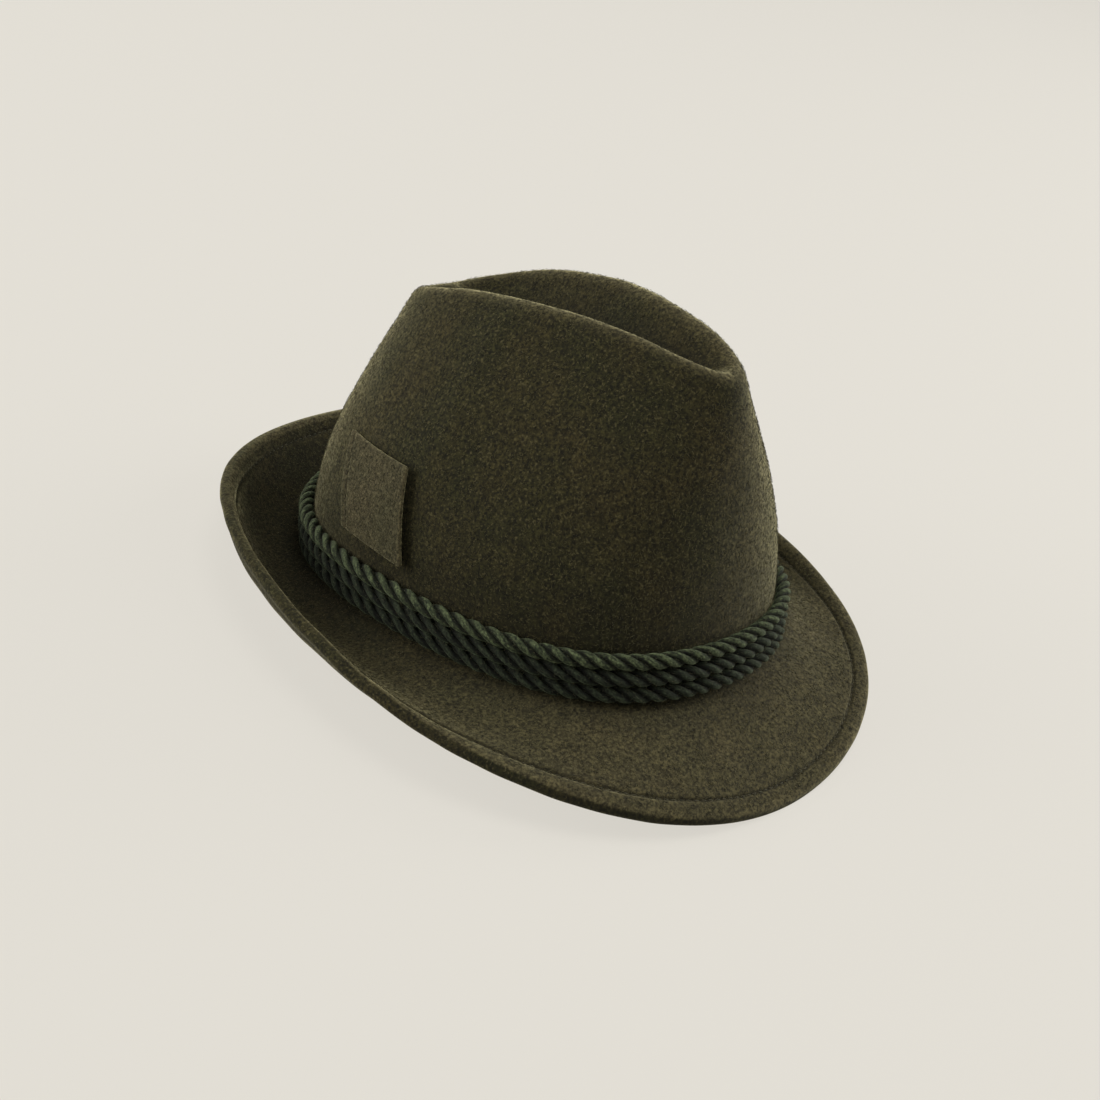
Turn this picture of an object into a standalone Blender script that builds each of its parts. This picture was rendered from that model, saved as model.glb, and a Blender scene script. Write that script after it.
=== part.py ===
"""A felt hat with a creased crown, a brim folded under and stitched at its edge, three twisted cords and a
feather holder. Metres, +Z up, the front towards -Y. The hat rests on its brim at z = 0."""

import math

import bmesh
import bpy
import numpy as np

# The crown's outside where it meets the brim.
BASE_LENGTH = 0.200
BASE_WIDTH = 0.158
BASE_SQUARENESS = 0.10
BASE_DIP = 0.0015
# From the base to the level that the tables below call 1.
CROWN_HEIGHT = 0.120
# From the crown out to the rim, seen from above, where the tables say 1.
BRIM_REACH = 0.044
FELT_THICKNESS = 0.0025

# Smooth bends: along each side of the corner.
BREAK_BEND = 0.004
RIDGE_BEND = 0.009
# The crease's floor ends this far inside the ridge at the front and at the back. It rises to the ridge as a curve
# of this power.
CREASE_INSET = 0.0108
CREASE_CURVE = 1.7

# The brim's edge is folded under and held by a stitched groove.
FOLD_WIDTH = 0.0100
GROOVE_FROM_EDGE = 0.0085
GROOVE_HALF_WIDTH = 0.0013
GROOVE_DEPTH = 0.0008

# How far the felt's lowest places are pressed flat under the hat's own weight, and the most that it can tip back.
REST_PRESS = 0.0006
MOST_TIP = math.radians(20)

GAP = 0.0003

CORD_DIAMETER = 0.0063
CORD_STRANDS = 3
CORD_LAY_LENGTH = 0.030
CORD_FURROW = 0.22
CORD_NAMES = ("cord_lower", "cord_middle", "cord_upper")

HOLDER_THICKNESS = 0.0018
HOLDER_OPENING = 0.0032
HOLDER_ABOVE_CORDS = 0.0075
HOLDER_HEIGHT = 0.0355

# Columns of points around the hat, and steps of its section: round the brim's edge, over the brim, along each bend,
# up the crown's wall and down into the crease.
COLUMNS = 60
EDGE_STEPS = 5
BRIM_STEPS = 6
BEND_STEPS = 4
WALL_STEPS = 7
CREASE_STEPS = 4
HOLDER_COLUMNS = 8
HOLDER_ROWS = 6
# How finely curves are measured before points are set along them.
SECTION_SAMPLES = 161
PATH_SAMPLES = 400

# The crown's wall: level as a share of CROWN_HEIGHT, then half width and the reach to the front and the back as
# shares of the base's own, then how far the front half is pinched in.
CROWN_ROWS = [
    (0.00, 1.00, 1.00, 1.00, 0.00),
    (0.33, 1.00, 0.96, 0.98, 0.00),
    (0.67, 0.83, 0.90, 0.83, 0.19),
    (1.00, 0.48, 0.80, 0.69, 0.44),
]
# The ridge around the crease: angle from the front in degrees, its level and the crease's depth below it, both as
# shares of CROWN_HEIGHT.
RIDGE_ROWS = [
    (0, 0.99, 0.04),
    (45, 1.05, 0.14),
    (90, 1.08, 0.23),
    (135, 1.00, 0.19),
    (180, 0.93, 0.03),
]
# The brim: angle from the front, reach as a share of BRIM_REACH, the rim's height above the base as a share of
# BRIM_REACH, slope where it leaves the crown, and how late it curls.
BRIM_ROWS = [
    (0, 0.98, -0.74, -0.65, 2.2),
    (45, 1.09, -0.28, -0.35, 2.8),
    (90, 0.97, 0.32, -0.40, 3.5),
    (135, 0.82, 0.66, -0.05, 3.6),
    (180, 0.79, 0.69, 0.50, 2.2),
]
# The holder's lower and upper edges, on the wearer's right: where each starts at the back and ends at the front, as
# angles from the front in degrees.
HOLDER_LOWER = (-110, -89)
HOLDER_UPPER = (-119, -94)

# Colours, linear red, green and blue.
FELT_COLOUR = (0.046, 0.038, 0.020)
CORD_COLOUR = (0.016, 0.022, 0.011)
HOLDER_COLOUR = (0.060, 0.052, 0.032)
FELT_ROUGHNESS = 0.95
CORD_ROUGHNESS = 0.9


def full_turn(count):
    """Angles evenly spaced over one turn, from the front."""
    return 2 * math.pi * np.arange(count) / count


def around(rows, column, phi):
    """A column of a table by angle, joined by cosines so that the left and right sides match."""
    known = np.radians([row[0] for row in rows])
    waves = np.arange(len(rows))
    weights = np.linalg.solve(np.cos(np.outer(known, waves)), [row[column] for row in rows])
    return np.cos(np.multiply.outer(phi, waves)) @ weights


def upward(column, level):
    """A column of the crown's table at a level, as one smooth curve through its rows."""
    shares = [row[0] for row in CROWN_ROWS]
    weights = np.polyfit(shares, [row[column] for row in CROWN_ROWS], len(shares) - 1)
    return np.polyval(weights, level / CROWN_HEIGHT)


def oval(half_width, front, back, phi):
    """A head's oval seen from above. phi is 0 at the front and grows towards the wearer's left."""
    side, ahead = np.sin(phi), np.cos(phi)
    reach = np.where(ahead > 0, front, back)
    return (
        half_width * side * (1 + BASE_SQUARENESS * ahead**2),
        -reach * ahead * (1 + BASE_SQUARENESS * side**2),
    )


def points(x, y, z):
    return np.stack(np.broadcast_arrays(x, y, z), -1)


def base_level(phi):
    return -BASE_DIP * np.cos(2 * phi)


def wall_point(level, phi):
    """The crown's outside at a level above the base line."""
    pinch = 1 - upward(4, level) * np.clip(np.cos(phi), 0, None)
    half_width = BASE_WIDTH / 2 * upward(1, level) * pinch
    front, back = (BASE_LENGTH / 2 * upward(column, level) for column in (2, 3))
    x, y = oval(half_width, front, back, phi)
    fade = np.clip(1 - level / CROWN_HEIGHT, 0, 1)
    return points(x, y, level + base_level(phi) * fade)


def base_normal(phi):
    """The base oval's outward direction, seen from above."""
    step = 1e-3
    half = BASE_LENGTH / 2
    ends = [oval(BASE_WIDTH / 2, half, half, phi + side * step) for side in (-1, 1)]
    run = np.subtract(ends[1], ends[0])
    x, y = run / np.hypot(*run)
    return points(y, -x, 0)


def brim_point(share, phi):
    """The brim's top at a share of its reach, 0 at the crown and 1 at the rim."""
    reach, rise = (BRIM_REACH * around(BRIM_ROWS, column, phi) for column in (1, 2))
    slope, curl = (around(BRIM_ROWS, column, phi) for column in (3, 4))
    base = base_level(phi)
    out = share * reach
    up = base + slope * out + (rise - base - slope * reach) * share**curl
    x, y = oval(BASE_WIDTH / 2, BASE_LENGTH / 2, BASE_LENGTH / 2, phi)
    return points(x, y, up) + base_normal(phi) * out[..., None]


def ridge_level(phi):
    return CROWN_HEIGHT * around(RIDGE_ROWS, 1, phi)


def crease_point(share, phi):
    """The crown's top at a share of the way from the crease's floor, 0, to the ridge, 1."""
    ridge = wall_point(ridge_level(phi), phi)
    front, back = (wall_point(ridge_level(end), end)[1] for end in (0.0, math.pi))
    middle, half = (front + back) / 2, (back - front) / 2 - CREASE_INSET
    depth = CROWN_HEIGHT * around(RIDGE_ROWS, 2, phi)
    floor = points(0, middle - half * np.cos(phi), ridge[..., 2] - depth)
    blend = points(share, share, share**CREASE_CURVE)
    return floor + (ridge - floor) * blend


def unit(vectors):
    return vectors / np.linalg.norm(vectors, axis=-1, keepdims=True)


def bend(start, corner, end):
    """The points inside the curve that rounds off a corner."""
    shares = [step / BEND_STEPS for step in range(1, BEND_STEPS)]
    return [(1 - s) ** 2 * start + 2 * s * (1 - s) * corner + s**2 * end for s in shares]


def brim_rows(phi):
    """Rows of points over the brim's top, from the edge to the bend at the crown, and a name for each."""
    shares = np.linspace(1, 0, SECTION_SAMPLES)
    section = np.stack([brim_point(share, phi) for share in shares])
    lengths = np.linalg.norm(np.diff(section, axis=0), axis=-1)
    run = np.concatenate([np.zeros((1, len(phi))), np.cumsum(lengths, axis=0)])
    fold_end = FOLD_WIDTH + FELT_THICKNESS / 3
    distances = [
        ("fold", FELT_THICKNESS),
        ("fold", 2 * FELT_THICKNESS),
        ("groove side", GROOVE_FROM_EDGE - GROOVE_HALF_WIDTH),
        ("groove", GROOVE_FROM_EDGE),
        ("fold", GROOVE_FROM_EDGE + GROOVE_HALF_WIDTH),
        ("fold end", fold_end),
    ]
    for step in range(1, BRIM_STEPS + 1):
        distances.append(("brim", fold_end + (run[-1] - BREAK_BEND - fold_end) * step / BRIM_STEPS))
    rows = []
    for _, distance in distances:
        distance = np.broadcast_to(distance, len(phi))
        columns = [
            [np.interp(distance[k], run[:, k], section[:, k, axis]) for axis in range(3)]
            for k in range(len(phi))
        ]
        rows.append(np.array(columns))
    return rows, [name for name, _ in distances]


def outer_rows(phi):
    """Rows of points from the brim's edge over the top of the brim and up the crown to the crease's floor."""
    rows, names = brim_rows(phi)
    rows += bend(rows[-1], wall_point(0.0, phi), wall_point(BREAK_BEND, phi))
    ridge = ridge_level(phi)
    rise = ridge - RIDGE_BEND - BREAK_BEND
    for step in range(WALL_STEPS + 1):
        rows.append(wall_point(BREAK_BEND + rise * step / WALL_STEPS, phi))
    corner, floor = wall_point(ridge, phi), crease_point(0.0, phi)
    lip_share = 1 - RIDGE_BEND / np.linalg.norm(corner - floor, axis=-1)
    rows += bend(rows[-1], corner, crease_point(lip_share, phi))
    for step in range(CREASE_STEPS + 1):
        rows.append(crease_point(lip_share * (1 - step / CREASE_STEPS), phi))
    names += ["break"] * (BEND_STEPS - 1) + ["wall"] * (WALL_STEPS + 1) + ["ridge"] * (BEND_STEPS - 1)
    return rows, names + ["crease"] * (CREASE_STEPS + 1)


def row_normals(rows):
    """Outward normals of the rows. The last row is the crease's floor, where the two sides meet."""
    grid = np.stack(rows)
    across = np.roll(grid, -1, axis=1) - np.roll(grid, 1, axis=1)
    mirror = np.roll(grid[-2, ::-1], 1, axis=0)
    padded = np.concatenate([2 * grid[:1] - grid[1:2], grid, mirror[None]])
    along = padded[2:] - padded[:-2]
    half = grid.shape[1] // 2
    for directions in (across, along):
        directions[-1, [0, half]] = directions[-1, [1, half - 1]]
    return unit(np.cross(across, along))


def felt_shell(phi):
    """All the rows of the felt, from the inside of the crown's top round the brim's edge to its outside."""
    rows, names = outer_rows(phi)
    normals = row_normals(rows)
    inside = []
    for index, (row, normal, name) in enumerate(zip(rows, normals, names)):
        # The underside has no groove, and needs every other row of the wall.
        if name in ("groove side", "groove"):
            continue
        if name == "wall" and (index - names.index("wall")) % 2:
            continue
        layers = 2 if name == "fold" else 1
        inside.append(row - normal * FELT_THICKNESS * layers)
    outward = unit(rows[0] - rows[1])
    centre = rows[0] - normals[0] * FELT_THICKNESS
    turns = [math.pi * step / EDGE_STEPS for step in range(1, EDGE_STEPS)]
    edge = [
        centre + FELT_THICKNESS * (normals[0] * math.cos(turn) + outward * math.sin(turn))
        for turn in turns[::-1]
    ]
    groove = names.index("groove")
    rows[groove] = rows[groove] - GROOVE_DEPTH * normals[groove]
    return inside[::-1] + edge + rows


def tipped(cloud, angle):
    """How far back and how high the points lie, once the hat is tipped back by an angle."""
    back, up = cloud[..., 1], cloud[..., 2]
    return back * math.cos(angle) + up * math.sin(angle), up * math.cos(angle) - back * math.sin(angle)


def rest_pose(cloud):
    """The angle that the hat tips back by to rest, and how far it then moves back and up to stand over the origin."""
    least, most = 0.0, MOST_TIP
    while most - least > 1e-9:
        angle = (least + most) / 2
        back, up = tipped(cloud, angle)
        if up[back < 0].min() < up[back >= 0].min():
            least = angle
        else:
            most = angle
    return angle, -(back.min() + back.max()) / 2, -up.min() - REST_PRESS


def at_rest(cloud, pose):
    """The points once the hat is tipped, set over the origin and pressed flat where it rests."""
    angle, slide, lift = pose
    back, up = tipped(cloud, angle)
    return points(cloud[..., 0], back + slide, np.maximum(up + lift, 0))


def add_mesh(name, vertices, faces, colour, roughness):
    """One closed object with its own material."""
    mesh = bpy.data.meshes.new(name)
    mesh.from_pydata([tuple(vertex) for vertex in vertices], [], faces)
    shape = bmesh.new()
    shape.from_mesh(mesh)
    bmesh.ops.recalc_face_normals(shape, faces=shape.faces)
    shape.to_mesh(mesh)
    shape.free()
    for polygon in mesh.polygons:
        polygon.use_smooth = True
    material = bpy.data.materials.new(name)
    material.use_nodes = True
    shader = material.node_tree.nodes["Principled BSDF"]
    shader.inputs["Base Color"].default_value = (*colour, 1)
    shader.inputs["Roughness"].default_value = roughness
    shader.inputs["Metallic"].default_value = 0.0
    mesh.materials.append(material)
    body = bpy.data.objects.new(name, mesh)
    bpy.context.scene.collection.objects.link(body)
    return body


def band_faces(first, second):
    """Quads between two rings of vertex numbers."""
    count = len(first)
    return [
        (first[k], first[(k + 1) % count], second[(k + 1) % count], second[k])
        for k in range(count)
    ]


def add_crown_and_brim(shell, pose):
    vertices, rings = [], []
    for index, row in enumerate(shell):
        start = len(vertices)
        if index in (0, len(shell) - 1):
            half = COLUMNS // 2
            vertices.extend(row[: half + 1])
            rings.append([start + min(k, COLUMNS - k) for k in range(COLUMNS)])
        else:
            vertices.extend(row)
            rings.append(list(range(start, start + COLUMNS)))
    faces = []
    for first, second in zip(rings, rings[1:]):
        faces += band_faces(first, second)
    vertices = at_rest(np.array(vertices), pose)
    return add_mesh("crown_and_brim", vertices, faces, FELT_COLOUR, FELT_ROUGHNESS)


def wall_normal(level, phi):
    step = 1e-4
    up = wall_point(level + step, phi) - wall_point(level - step, phi)
    across = wall_point(level, phi + step) - wall_point(level, phi - step)
    return unit(np.cross(across, up))


def seat_level(phi):
    """The level of the lowest cord's centre, where it lies against both the crown and the brim."""
    clear = CORD_DIAMETER / 2 + GAP
    shares = np.linspace(BREAK_BEND, 3 * CORD_DIAMETER, SECTION_SAMPLES) / BRIM_REACH
    brim = [brim_point(share, phi) for share in shares]
    surface = np.stack(brim + bend(brim[0], wall_point(0.0, phi), wall_point(BREAK_BEND, phi)))
    levels = np.linspace(3 * CORD_DIAMETER, 0, SECTION_SAMPLES)
    seats = np.full(len(phi), levels[0])
    for level in levels:
        centre = wall_point(level, phi) + wall_normal(level, phi) * clear
        distance = np.linalg.norm(surface - centre, axis=-1).min(axis=0)
        seats = np.where(distance >= clear, level, seats)
    waves = np.cos(np.outer(phi, np.arange(len(BRIM_ROWS))))
    smooth = waves @ np.linalg.lstsq(waves, seats, rcond=None)[0]
    return smooth + max(0, (seats - smooth).max())


def cord_path(row, phi):
    """The centre line of one cord, and the directions out of the crown and along the cord."""
    level = seat_level(phi) + row * (CORD_DIAMETER + GAP)
    out = wall_normal(level, phi)
    path = wall_point(level, phi) + out * (CORD_DIAMETER / 2 + GAP)
    along = unit(np.roll(path, -1, axis=0) - np.roll(path, 1, axis=0))
    out = unit(out - along * (out * along).sum(axis=-1, keepdims=True))
    return path, out, along


def add_cord(name, row, pose):
    """A closed loop of twisted cord, with one lobe for each strand."""
    corners = 2 * CORD_STRANDS
    path = cord_path(row, full_turn(PATH_SAMPLES))[0]
    length = np.linalg.norm(np.roll(path, -1, axis=0) - path, axis=-1).sum()
    turns = round(length / CORD_LAY_LENGTH)
    steps = corners * turns
    path, out, along = cord_path(row, full_turn(steps))
    side = np.cross(along, out)
    vertices, rings = [], []
    for index in range(steps):
        twist = 2 * math.pi * turns * index / steps
        for corner in range(corners):
            angle = twist + 2 * math.pi * corner / corners
            radius = CORD_DIAMETER / 2 * (1 - CORD_FURROW * (corner % 2))
            vertices.append(
                path[index] + radius * (math.cos(angle) * out[index] + math.sin(angle) * side[index])
            )
        rings.append([index * corners + corner for corner in range(corners)])
    faces = []
    for index in range(steps):
        faces += band_faces(rings[index], rings[(index + 1) % steps])
    return add_mesh(name, at_rest(np.array(vertices), pose), faces, CORD_COLOUR, CORD_ROUGHNESS)


def add_feather_holder(pose):
    """A felt patch on the crown, fast along its back edge and standing open along its front edge."""
    columns, rows = HOLDER_COLUMNS + 1, HOLDER_ROWS + 1
    lower, upper = (np.radians(np.linspace(*ends, columns)) for ends in (HOLDER_LOWER, HOLDER_UPPER))
    cords_top = seat_level(lower) + (len(CORD_NAMES) - 0.5) * (CORD_DIAMETER + GAP)
    opening = GAP + HOLDER_OPENING * np.linspace(0, 1, columns) ** 2
    vertices = []
    for offset in (opening, opening + HOLDER_THICKNESS):
        for share in np.linspace(0, 1, rows):
            phi = lower + (upper - lower) * share
            level = cords_top + HOLDER_ABOVE_CORDS + HOLDER_HEIGHT * share
            vertices.extend(wall_point(level, phi) + wall_normal(level, phi) * offset[:, None])
    sheet = columns * rows

    def number(layer, row, column):
        return layer * sheet + row * columns + column

    faces = []
    for row in range(rows - 1):
        for column in range(columns - 1):
            corners = ((row, column), (row, column + 1), (row + 1, column + 1), (row + 1, column))
            faces.append(tuple(number(0, *corner) for corner in corners[::-1]))
            faces.append(tuple(number(1, *corner) for corner in corners))
    edge = (
        [(0, column) for column in range(columns)]
        + [(row, columns - 1) for row in range(1, rows)]
        + [(rows - 1, column) for column in range(columns - 2, -1, -1)]
        + [(row, 0) for row in range(rows - 2, 0, -1)]
    )
    faces += band_faces([number(0, *place) for place in edge], [number(1, *place) for place in edge])
    return add_mesh("feather_holder", at_rest(np.array(vertices), pose), faces, HOLDER_COLOUR, FELT_ROUGHNESS)


def main():
    for old in list(bpy.data.objects):
        bpy.data.objects.remove(old, do_unlink=True)
    shell = felt_shell(full_turn(COLUMNS))
    pose = rest_pose(np.concatenate(shell))
    add_crown_and_brim(shell, pose)
    for row, name in enumerate(CORD_NAMES):
        add_cord(name, row, pose)
    add_feather_holder(pose)


main()
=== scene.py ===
"""The looks of the felt hat: its felt, folded and stitched brim, twisted cords and feather holder.
Metres, +Z up, the front towards -Y. Every piece lies where the frame's solids lie."""

import math

import bpy
import numpy as np
from mathutils import Matrix, Vector, noise


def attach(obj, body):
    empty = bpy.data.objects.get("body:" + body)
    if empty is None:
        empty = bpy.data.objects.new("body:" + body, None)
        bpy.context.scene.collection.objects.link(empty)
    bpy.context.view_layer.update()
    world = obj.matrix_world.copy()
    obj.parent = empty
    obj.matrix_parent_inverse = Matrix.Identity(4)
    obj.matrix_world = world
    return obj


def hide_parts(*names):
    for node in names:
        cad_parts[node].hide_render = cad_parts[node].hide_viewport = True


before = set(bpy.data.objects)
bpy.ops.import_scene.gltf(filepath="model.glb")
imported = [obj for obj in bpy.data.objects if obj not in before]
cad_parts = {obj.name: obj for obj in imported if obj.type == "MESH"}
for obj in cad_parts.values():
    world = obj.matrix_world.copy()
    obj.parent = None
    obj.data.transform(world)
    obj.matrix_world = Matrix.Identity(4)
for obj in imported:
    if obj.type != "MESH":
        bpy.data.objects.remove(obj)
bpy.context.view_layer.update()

# The photo's camera: where it stands, and how it looks round, down and tilted, in degrees.
CAMERA_PLACE = (-0.4725, -0.3526, 0.3627)
CAMERA_AZIMUTH = -53.26
CAMERA_ELEVATION = 29.34
CAMERA_ROLL = 14.41
CAMERA_LENS_MM = 53.42
CAMERA_SENSOR_MM = 36
CAMERA_CLIP_START = 0.01

# The form of the felt, as in the solids: the crown's outside where it meets the brim, the crown's height,
# the brim's reach, the felt's own thickness and its bends.
BASE_LENGTH = 0.200
BASE_WIDTH = 0.158
BASE_SQUARENESS = 0.10
BASE_DIP = 0.0015
CROWN_HEIGHT = 0.120
BRIM_REACH = 0.044
FELT_THICKNESS = 0.0025
BREAK_BEND = 0.004
RIDGE_BEND = 0.009
CREASE_INSET = 0.0108
CREASE_CURVE = 1.7
FOLD_WIDTH = 0.0100
GROOVE_FROM_EDGE = 0.0085
GROOVE_HALF_WIDTH = 0.0013
GROOVE_DEPTH = 0.0008
# How the hat rests: tipped back by so many degrees, and moved back and up to stand over the origin.
REST_TIP = 7.718
REST_SLIDE = 0.00253
REST_LIFT = 0.01580
# The cords and the holder, as in the solids but for the cords' closer twist. GAP is the space under each.
GAP = 0.0003
CORD_DIAMETER = 0.0063
CORD_STRANDS = 3
CORD_LAY_LENGTH = 0.0218
CORD_NAMES = ("cord_lower", "cord_middle", "cord_upper")
HOLDER_THICKNESS = 0.0018
HOLDER_OPENING = 0.0032
HOLDER_ABOVE_CORDS = 0.0075
HOLDER_HEIGHT = 0.0355

# The crown's wall: level as a share of CROWN_HEIGHT, half width, reach to the front and to the back, pinch.
CROWN_ROWS = [
    (0.00, 1.00, 1.00, 1.00, 0.00),
    (0.33, 1.00, 0.96, 0.98, 0.00),
    (0.67, 0.83, 0.90, 0.83, 0.19),
    (1.00, 0.48, 0.80, 0.69, 0.44),
]
# The ridge around the crease: angle from the front, level and the crease's depth as shares of CROWN_HEIGHT.
RIDGE_ROWS = [
    (0, 0.99, 0.04),
    (45, 1.05, 0.14),
    (90, 1.08, 0.23),
    (135, 1.00, 0.19),
    (180, 0.93, 0.03),
]
# The brim: angle from the front, reach and rim height as shares of BRIM_REACH, slope at the crown, curl.
BRIM_ROWS = [
    (0, 0.98, -0.74, -0.65, 2.2),
    (45, 1.09, -0.28, -0.35, 2.8),
    (90, 0.97, 0.32, -0.40, 3.5),
    (135, 0.82, 0.66, -0.05, 3.6),
    (180, 0.79, 0.69, 0.50, 2.2),
]
# Where the holder's lower and upper edges start at the back and end at the front, in degrees from the front.
HOLDER_LOWER = (-110, -87.8)
HOLDER_UPPER = (-119, -92.6)

# Columns of points around the hat, and steps of its section.
COLUMNS = 440
EDGE_STEPS = 12
BRIM_STEPS = 30
BREAK_STEPS = 7
WALL_STEPS = 56
RIDGE_STEPS = 9
CREASE_STEPS = 18
SECTION_SAMPLES = 161
PATH_SAMPLES = 400
SEAT_BEND_STEPS = 4

# Soft unevenness of the blocked felt: its height, its span, and how many times shorter its finer waves are
# and what share as high.
UNEVEN_HEIGHT = 0.0005
UNEVEN_SPAN = 0.030
UNEVEN_FINER = 2.3
UNEVEN_FINER_SHARE = 0.5
# The puff of the folded edge beside its stitched groove, the depth of the thin line along its outside, and
# how sharply the groove is pressed in.
EDGE_PUFF = 0.0003
EDGE_LINE_DEPTH = 0.0003
GROOVE_ROUNDING = 1.2

# Up to this level, and over this stretch of the brim from rim to crown, the felt returns to its true form,
# for the cords lie there.
BAND_TOP = 0.024
TRUE_BRIM_BETWEEN = (0.55, 0.8)
# Rows by the edge: how far apart on the folded band, and how many over the groove.
BAND_STEP = 0.0009
GROOVE_STEPS = 8
# The underside has no rows within this share of the groove's half width.
GROOVE_HIDDEN = 0.99
# The thin line along the outside of the folded edge lies this many of the edge's steps from its top.
EDGE_LINE_STEP = 4
# How strongly a highlight is painted into the felt: along the rim's crest, so many rows to either side, along
# the ridge and on the brim, where it grows towards the front between these cosines of the angle from the
# front.
HIGHLIGHT_AT_CREST = 0.35
CREST_ROWS = 2
HIGHLIGHT_AT_RIDGE = 0.40
BRIM_HIGHLIGHT = 0.24
BRIM_HIGHLIGHT_BETWEEN = (-0.5, 0.95)
# How much painted shade darkens the felt in the stitched groove and on the outside of the front edge, fading
# out between these shares of the way up the edge.
GROOVE_SHADE = 0.7
EDGE_SHADE = 0.60
EDGE_SHADE_BETWEEN = (0.6, 0.9)
# How much painted shade darkens it under the rim: from this share of the way out to the edge, up to this
# share of it.
UNDER_LIP_SHADE = 0.75
UNDER_LIP_FROM = 0.6
UNDER_LIP_ONTO_EDGE = 0.3
# How much painted shade darkens the crease, fully so at this share of its depth.
CREASE_SHADE = 0.60
CREASE_SHADE_FULL_AT = 0.5
# How much painted shade darkens the turned-up brim's channel, between these cosines of the angle from the
# back.
CHANNEL_SHADE = 0.3
CHANNEL_BETWEEN = (-0.1, 0.6)
# How much painted shade darkens the felt by the cords, how far up the crown, and over which stretch from rim
# to crown.
BAND_SHADE = 0.25
BAND_SHADE_REACH = 0.028
BAND_SHADE_ON_BRIM = (0.62, 0.9)

# The thread: how far its stitches are apart, its radius, the share of each pitch above the felt, how deep its
# ends sink, how high it arches in radii and how thick it is at its ends. Then its sides and rings.
STITCH_PITCH = 0.0032
STITCH_RADIUS = 0.00028
STITCH_SHARE = 0.86
STITCH_SINK = 0.0001
STITCH_ARCH = 1.2
STITCH_END = 0.55
STITCH_SIDES = 6
STITCH_RINGS = 6

# The holder's steps and soft edge. Its seam's place and width are shares of its width, and where the seam's
# stitches end are shares of its height.
HOLDER_STEPS = 60
HOLDER_EDGE = 0.0007
HOLDER_EDGE_STEPS = 6
HOLDER_SEAM = 0.09
HOLDER_SEAM_WIDTH = 0.022
HOLDER_SEAM_DEPTH = 0.0005
HOLDER_STITCH_ENDS = (0.06, 0.94)
# A highlight is painted pale along the holder's open edge, from this share of its width on.
HOLDER_HIGHLIGHT_FROM = 0.97
HIGHLIGHT_AT_HOLDER = 0.8

# Each strand is twisted from plies, which rise by a share of its radius.
STRAND_SIDES = 18
STRAND_PLIES = 6
STRAND_PLY_HEIGHT = 0.035
STRAND_PLY_LENGTH = 0.012
STRAND_STEP = 0.0009

# Loose fibres: how many, then their length, width and the most that they rise.
NAP_LAYERS = 3
NAP_COUNT = 21000
NAP_SIZE = (0.0017, 0.00015, 0.00045)
CORD_FUZZ_COUNT = 20000
CORD_FUZZ_SIZE = (0.0018, 0.00012, 0.0010)
HOLDER_NAP_COUNT = 4000
HOLDER_NAP_SIZE = (0.0016, 0.00009, 0.0003)
# How far a fibre sways aside and its tip back, and how high its middle is, as shares of its length, sway and
# rise. Then its finish.
FIBRE_SWAY = 0.5
FIBRE_TIP_SWAY = 0.3
FIBRE_BOW = 0.7
FIBRE_ROUGHNESS = 0.8
FIBRE_SHEEN = 0.2
FIBRE_SHEEN_ROUGHNESS = 0.4

# The felt's colours, its grain's size and contrast, and how much further it goes to the pale side.
FELT_OLIVE = (0.0112, 0.0108, 0.0031)
FELT_BROWN = (0.0178, 0.0142, 0.0046)
# The colour towards which painted highlights lighten the felt.
FELT_HIGHLIGHT_COLOUR = (0.085, 0.072, 0.036)
FELT_PALE_FLECK = (0.050, 0.043, 0.019)
# The dark flecks' colour, towards which painted shade also darkens the felt and its sheen.
FELT_DARK_FLECK = (0.0035, 0.0032, 0.0012)
FELT_GRAIN_SIZE = 0.0013
FELT_CONTRAST = 0.72
PALE_CONTRAST = 1.3
# The felt's patterns of noise: their sizes, their detail and roughness, and the values between which they
# turn from one colour or shade to the next.
FELT_CLOUD_SIZE = 0.028
BLOTCH_SIZE_IN_GRAINS = 3
FLECK_SIZE_IN_GRAINS = 0.8
CLOUD_NOISE = (4.0, 0.6)
GRAIN_NOISE = (3.0, 0.75)
BLOTCH_NOISE = (2.0, 0.6)
FLECK_NOISE = (1.0, 0.5)
CLOUD_TURN = (0.35, 0.65)
GRAIN_TURN = (0.36, 0.5, 0.64)
BLOTCH_TURN = (0.35, 0.65)
BLOTCH_SHADES = (0.80, 1.20)
PALE_FLECK_TURN = (0.62, 0.70)
DARK_FLECK_TURN = (0.31, 0.39)
# The felt's bump and finish. The holder's felt is paler and finer.
FELT_BUMP = 0.2
FELT_BUMP_IN_GRAINS = 0.25
FELT_ROUGHNESS = 0.95
FELT_SHEEN = 0.50
FELT_SHEEN_ROUGHNESS = 0.35
FELT_SHEEN_TINT = (0.84, 0.77, 0.43)
FABRIC_SPECULAR = 0.2
HOLDER_OLIVE = (0.036, 0.033, 0.017)
HOLDER_BROWN = (0.050, 0.041, 0.022)
HOLDER_GRAIN_SIZE = 0.0010
HOLDER_CONTRAST = 0.65
# Each fibre's colour by its tone.
FELT_FIBRES = [
    (0.0, (0.004, 0.0038, 0.0014)),
    (0.6, (0.0135, 0.0122, 0.0044)),
    (1.0, (0.080, 0.070, 0.031)),
]
# The yarn's colours and finish. A strand has painted shade where it turns in, by shares of the way around it
# from its outermost line.
CORD_DARK = (0.008, 0.0115, 0.0055)
CORD_LIGHT = (0.060, 0.075, 0.036)
CORD_SHEEN = 0.15
CORD_SHEEN_ROUGHNESS = 0.45
CORD_SHEEN_TINT = (0.60, 0.75, 0.46)
CORD_ROUGHNESS = 0.9
STRAND_SHADES = [(0.0, 1.0), (0.09, 0.95), (0.21, 0.16), (0.79, 0.16), (0.91, 0.95), (1.0, 1.0)]
# The two lower rows are darker than the top one, a painted shade.
CORD_LOW_DARK = (0.0028, 0.004, 0.0022)
CORD_LOW_LIGHT = (0.022, 0.029, 0.0165)
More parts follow.
